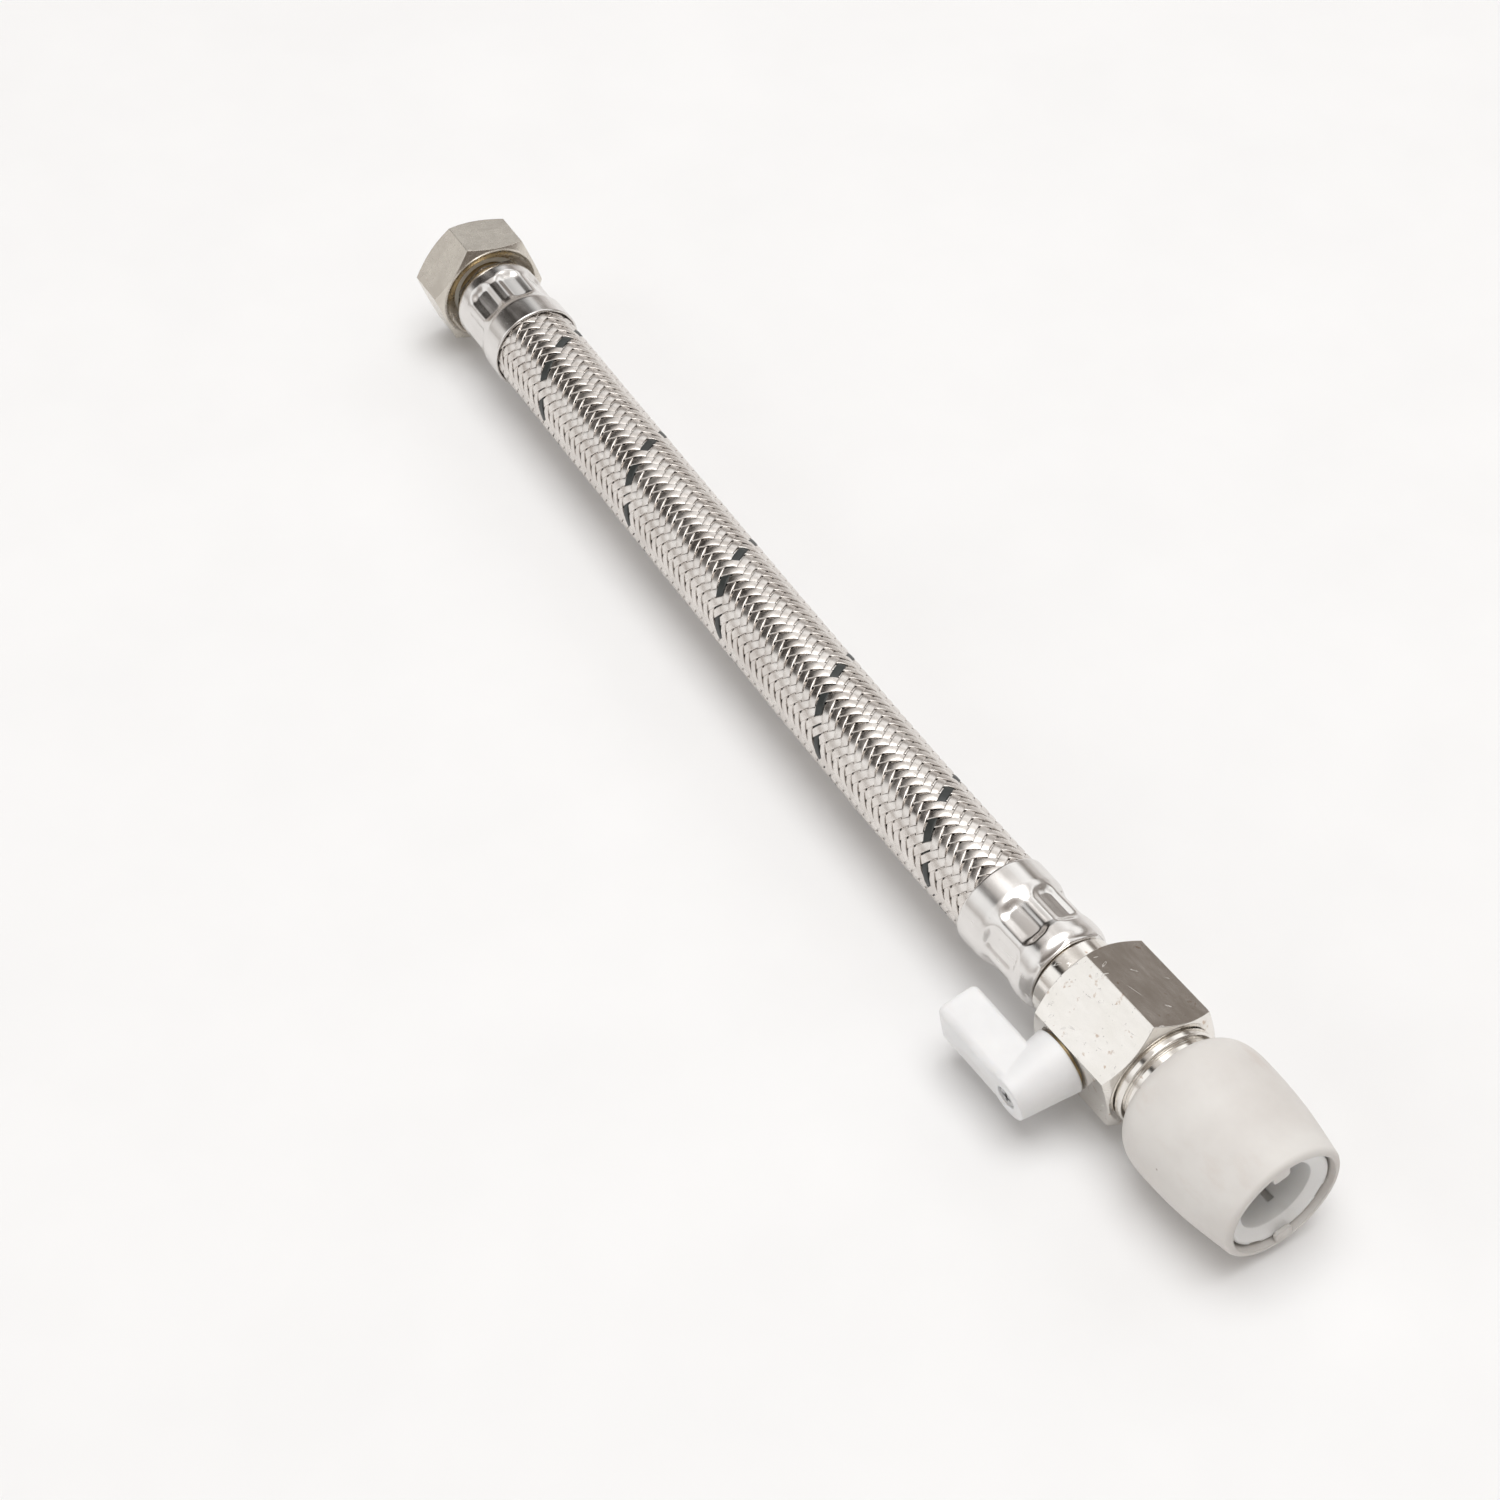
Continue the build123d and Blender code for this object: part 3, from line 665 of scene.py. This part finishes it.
SUBSURFACE_SCALE = 1.5 * MM
PLASTIC_IOR = 1.5
PLASTIC_SKIN = 2600
PLASTIC_WAVES, PLASTIC_WAVE_SHARE = 160, 2.0
PLASTIC_RELIEF_STRENGTH = 0.10
SOFT_RELIEF = 0.1 * MM

RUBBER_CLOUDS = 300
RUBBER_STOPS = (0.35, 0.7)
RUBBER_SHADE = 0.6
RUBBER_SKIN = 1500
RUBBER_RELIEF_STRENGTH = 0.3

FIBRE_HAIRS = 1400
FIBRE_STRETCHES = ((0.2, 1, 1), (1, 1, 0.2))
FIBRE_STOPS = [(0.4, (0.16, 0.055, 0.03)), (0.7, (0.42, 0.17, 0.10))]
FIBRE_ROUGHNESS = 0.75
FIBRE_RELIEF_STRENGTH = 0.4


def plastic(name, light, dark, rough, grime=PLASTIC_GRIME, grime_share=0.25, subsurface=0.15,
            edge=0.0, cloud=PLASTIC_CLOUDS):
    """Moulded plastic: faint mottling, handling marks, tiny specks and a fine matt skin."""
    material, tree, shader = new_material(name)
    tone = ramp(tree, noise(tree, cloud, detail=4), list(zip(PLASTIC_TONE_STOPS, (dark, light))))
    smear = ramp(tree, noise(tree, SMEAR_SCALE * cloud, detail=6, stretch=SMEAR_STRETCH),
                 SMEAR_STOPS)
    smear = combine(tree, "MULTIPLY", smear, grime_share)
    tone = mix(tree, smear, tone, grime)
    specks = combine(tree, "MULTIPLY", ramp(tree, cells(tree, DUST_SPECKS), DUST_STOPS),
                     ramp(tree, noise(tree, DUST_PATCHES, detail=2), DUST_PATCH_STOPS))
    tone = mix(tree, specks, tone, shaded(grime, DUST_SHADE))
    tree.links.new(tone, shader.inputs["Base Color"])
    shader.inputs["Subsurface Weight"].default_value = subsurface
    shader.inputs["Subsurface Radius"].default_value = SUBSURFACE_RADIUS
    shader.inputs["Subsurface Scale"].default_value = SUBSURFACE_SCALE
    shader.inputs["IOR"].default_value = PLASTIC_IOR
    skin = noise(tree, PLASTIC_SKIN, detail=3)
    matt = combine(tree, "MULTIPLY", combine(tree, "ADD", skin, smear), PLASTIC_ROUGH_GAIN)
    roughness = ramp(tree, matt, [(stop, min(1.0, rough * spread)) for stop, spread
                                  in zip(PLASTIC_ROUGH_STOPS, PLASTIC_ROUGH_SPREAD)])
    tree.links.new(roughness, shader.inputs["Roughness"])
    waves = combine(tree, "MULTIPLY", noise(tree, PLASTIC_WAVES, detail=4), PLASTIC_WAVE_SHARE)
    relief(tree, shader, combine(tree, "ADD", skin, waves), PLASTIC_RELIEF_STRENGTH, SOFT_RELIEF,
           edge)
    return material


def rubber(name, colour, rough):
    """Dull dark rubber with a slightly cloudy tone."""
    material, tree, shader = new_material(name)
    tone = ramp(tree, noise(tree, RUBBER_CLOUDS, detail=5),
                list(zip(RUBBER_STOPS, (shaded(colour, RUBBER_SHADE), colour))))
    tree.links.new(tone, shader.inputs["Base Color"])
    shader.inputs["Roughness"].default_value = rough
    relief(tree, shader, noise(tree, RUBBER_SKIN, detail=4), RUBBER_RELIEF_STRENGTH, SOFT_RELIEF)
    return material


def fibre(name):
    """Pressed red fibre with short hairs running every way."""
    material, tree, shader = new_material(name)
    hairs = combine(tree, "MAXIMUM",
                    *(noise(tree, FIBRE_HAIRS, detail=5, stretch=stretch)
                      for stretch in FIBRE_STRETCHES))
    tree.links.new(ramp(tree, hairs, FIBRE_STOPS), shader.inputs["Base Color"])
    shader.inputs["Roughness"].default_value = FIBRE_ROUGHNESS
    relief(tree, shader, hairs, FIBRE_RELIEF_STRENGTH, SOFT_RELIEF)
    return material


# ---------------------------------------------------------------- finishes
METALS = {
    "nickel_nut": dict(light=(0.74, 0.70, 0.63), dark=(0.62, 0.58, 0.52), rough=0.24,
                       edge=0.2 * MM, relief_strength=0.10),
    "nickel_body": dict(light=(0.87, 0.84, 0.80), dark=(0.80, 0.77, 0.72), rough=0.13,
                        grain=(0.4, 1, 1), edge=0.2 * MM, relief_strength=0.05,
                        specks=(0.42, 0.26, 0.15)),
    "stainless": dict(light=(0.82, 0.80, 0.78), dark=(0.72, 0.70, 0.68), rough=0.20,
                      grain=(0.1, 1, 1), relief_strength=0.05),
    "braid_wire": dict(light=(0.80, 0.765, 0.73), dark=(0.66, 0.62, 0.585), rough=0.24,
                       relief_strength=0.08),
    "brass": dict(light=(0.62, 0.49, 0.29), dark=(0.44, 0.34, 0.20), rough=0.34,
                  grain=(0.3, 1, 1), edge=0.2 * MM, relief_strength=0.15),
    "chromed_ball": dict(light=(0.80, 0.80, 0.80), dark=(0.70, 0.70, 0.70), rough=0.08,
                         relief_strength=0.03),
    "screw_steel": dict(light=(0.62, 0.62, 0.62), dark=(0.45, 0.45, 0.45), rough=0.25,
                        grain=(1, 1, 0.2), edge=0.1 * MM),
}
PLASTICS = {
    "ptfe": dict(light=(0.86, 0.86, 0.84), dark=(0.78, 0.78, 0.76), rough=0.45, subsurface=0.2),
    "nylon": dict(light=(0.80, 0.78, 0.72), dark=(0.70, 0.68, 0.62), rough=0.45),
    "lever_nylon": dict(light=(0.86, 0.86, 0.86), dark=(0.78, 0.78, 0.785), rough=0.42,
                        grime=(0.42, 0.38, 0.33), grime_share=0.22, subsurface=0.2,
                        edge=0.7 * MM, cloud=60),
    "collet_plastic": dict(light=(0.88, 0.88, 0.87), dark=(0.80, 0.80, 0.79), rough=0.35,
                           subsurface=0.2, edge=0.3 * MM),
    "cap_plastic": dict(light=(0.74, 0.72, 0.69), dark=(0.66, 0.63, 0.60), rough=0.55,
                        grime=(0.52, 0.40, 0.33), grime_share=0.35, subsurface=0.12,
                        edge=0.5 * MM, cloud=55),
}
RUBBERS = {
    "braid_tracer": dict(colour=(0.035, 0.04, 0.038), rough=0.38),
    "liner_rubber": dict(colour=(0.02, 0.019, 0.018), rough=0.7),
    "seal_rubber": dict(colour=(0.018, 0.018, 0.018), rough=0.55),
}
NODE_FINISH = {
    "swivel_nut": "nickel_nut",
    "slip_ring": "nylon",
    "sealing_washer": "sealing_fibre",
    "nut_end_tail": "brass",
    "valve_end_tail": "brass",
    "tail_o_ring": "seal_rubber",
    "valve_body": "nickel_body",
    "seat_hose_side": "ptfe",
    "seat_socket_side": "ptfe",
    "ball": "chromed_ball",
    "stem": "brass",
    "stem_washer": "ptfe",
    "stem_o_rings": "seal_rubber",
    "gland": "brass",
    "lever": "lever_nylon",
    "lever_screw": "screw_steel",
    "socket_body": "nickel_body",
    "body_o_ring": "seal_rubber",
    "pipe_o_ring": "seal_rubber",
    "spacer_ring": "nylon",
    "collet": "collet_plastic",
    "collet_teeth": "screw_steel",
    "cap": "cap_plastic",
}


def make_finishes():
    """Every material, by name."""
    finishes = {"sealing_fibre": fibre("sealing_fibre")}
    for make, looks in ((metal, METALS), (plastic, PLASTICS), (rubber, RUBBERS)):
        for name, look in looks.items():
            finishes[name] = make(name, **look)
    thinly_plated(finishes["nickel_nut"])
    scratched(finishes["nickel_body"])
    return finishes


FINISHES = make_finishes()


def dress(obj, finish):
    """Give an object one finish for its whole mesh."""
    slots = obj.material_slots
    if not len(slots):
        obj.data.materials.append(FINISHES[finish])
    for material_slot in slots:
        material_slot.material = FINISHES[finish]


for node_name, finish_name in NODE_FINISH.items():
    dress(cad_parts[node_name], finish_name)
dress(CORE, "liner_rubber")
dress(BRAID[0], "braid_tracer")
for strand_piece in BRAID[1:]:
    dress(strand_piece, "braid_wire")
for sleeve in FERRULES:
    dress(sleeve, "stainless")

# ---------------------------------------------------------------- floor and light
FLOOR_REACH = 3.0
FLOOR_CLOUDS = 30
FLOOR_STOPS = [(0.3, (0.87, 0.87, 0.87)), (0.7, (0.89, 0.89, 0.89))]
FLOOR_ROUGHNESS = 0.9
FLOOR_SPECULAR = 0.1

PANEL_PLACE = (-0.1, 0.05, 1.2)
PANEL_TARGET = (-0.11, 0.0, 0.0)
PANEL_SIZE = (0.8, 0.8)
PANEL_POWER = 4

# Brightness of the tent against height, from the horizon (0) to straight up (1), on each side.
TENT_NEAR = [(0.0, 0.30), (0.3, 0.20), (0.55, 0.20), (0.70, 0.45), (0.88, 0.7), (0.93, 2.2)]
TENT_FAR = [(0.0, 0.70), (0.18, 0.75), (0.27, 0.24), (0.41, 0.24), (0.52, 1.3), (0.72, 1.15),
            (0.79, 0.65), (0.87, 0.7), (0.93, 2.2)]
TENT_BACK = [(0.0, 0.45), (0.2, 0.55), (0.32, 0.45), (0.42, 0.03), (0.72, 0.03), (0.78, 0.65),
             (0.87, 0.7), (0.93, 2.2)]
TENT_LEFT = [(0.0, 0.45), (0.25, 0.9), (0.34, 1.08), (0.68, 1.08), (0.75, 0.10), (0.80, 0.4),
             (0.93, 2.2)]
TENT_PEAK = 2.2
TENT_SHADE = (1.0, 0.84, 0.72)      # the dim gaps are a warm brown
# The sides that take over from the near one: which way each lies, the shares of facing between
# which it takes over, and its brightness.
TENT_SIDES = [
    ((-0.63, 0.77, 0.0), (0.20, 0.45), TENT_FAR),
    ((-0.94, -0.34, 0.0), (0.42, 0.54), TENT_BACK),
    ((-0.17, -0.985, 0.0), (0.67, 0.73), TENT_LEFT),
]


def make_floor():
    """Plain pale floor at the object's lowest point."""
    low = CAD_BOX[0][2]
    corners = [(-FLOOR_REACH, -FLOOR_REACH, low), (FLOOR_REACH, -FLOOR_REACH, low),
               (FLOOR_REACH, FLOOR_REACH, low), (-FLOOR_REACH, FLOOR_REACH, low)]
    floor = mesh_object("floor", corners, [(0, 1, 2, 3)], smooth=False)
    material, tree, shader = new_material("floor_paper")
    tone = ramp(tree, noise(tree, FLOOR_CLOUDS, detail=3), FLOOR_STOPS)
    tree.links.new(tone, shader.inputs["Base Color"])
    shader.inputs["Roughness"].default_value = FLOOR_ROUGHNESS
    shader.inputs["Specular IOR Level"].default_value = FLOOR_SPECULAR
    floor.data.materials.append(material)


def make_panel():
    """Soft square light above the object."""
    data = bpy.data.lights.new("top", "AREA")
    data.shape = "RECTANGLE"
    data.size, data.size_y = PANEL_SIZE
    data.energy = PANEL_POWER
    light = collect(bpy.data.objects.new("top", data))
    light.location = PANEL_PLACE
    light.rotation_mode = "QUATERNION"
    aim = Vector(PANEL_TARGET) - Vector(PANEL_PLACE)
    light.rotation_quaternion = aim.to_track_quat("-Z", "Y")


def tent_colour(level):
    """Warm where it is dim, neutral where it is bright."""
    warmth = max(0.0, 1.0 - level)
    return tuple(level / TENT_PEAK * (1 - warmth * (1 - part)) for part in TENT_SHADE)


def tent_wall(tree, height, levels):
    """Colour of one side of the tent at a height."""
    return ramp(tree, height, [(place, tent_colour(level)) for place, level in levels])


def make_world():
    """Light tent in the background, with dim gaps at other heights on each of four sides."""
    world = bpy.data.worlds.new("tent")
    bpy.context.scene.world = world
    world.use_nodes = True
    tree = world.node_tree
    background = tree.nodes["Background"]
    direction = add(tree, "ShaderNodeTexCoord").outputs["Generated"]
    split = add(tree, "ShaderNodeSeparateXYZ")
    tree.links.new(direction, split.inputs[0])
    height = split.outputs["Z"]
    colour = tent_wall(tree, height, TENT_NEAR)
    for side, (first, last), levels in TENT_SIDES:
        facing = add(tree, "ShaderNodeVectorMath", operation="DOT_PRODUCT")
        tree.links.new(direction, facing.inputs[0])
        facing.inputs[1].default_value = side
        share = ramp(tree, facing.outputs["Value"], [(first, 0.0), (last, 1.0)])
        colour = mix(tree, share, colour, tent_wall(tree, height, levels))
    tree.links.new(colour, background.inputs["Color"])
    background.inputs["Strength"].default_value = TENT_PEAK


make_floor()
make_world()
make_panel()
bpy.context.scene.view_settings.view_transform = "Standard"
bpy.context.scene.view_settings.look = "None"
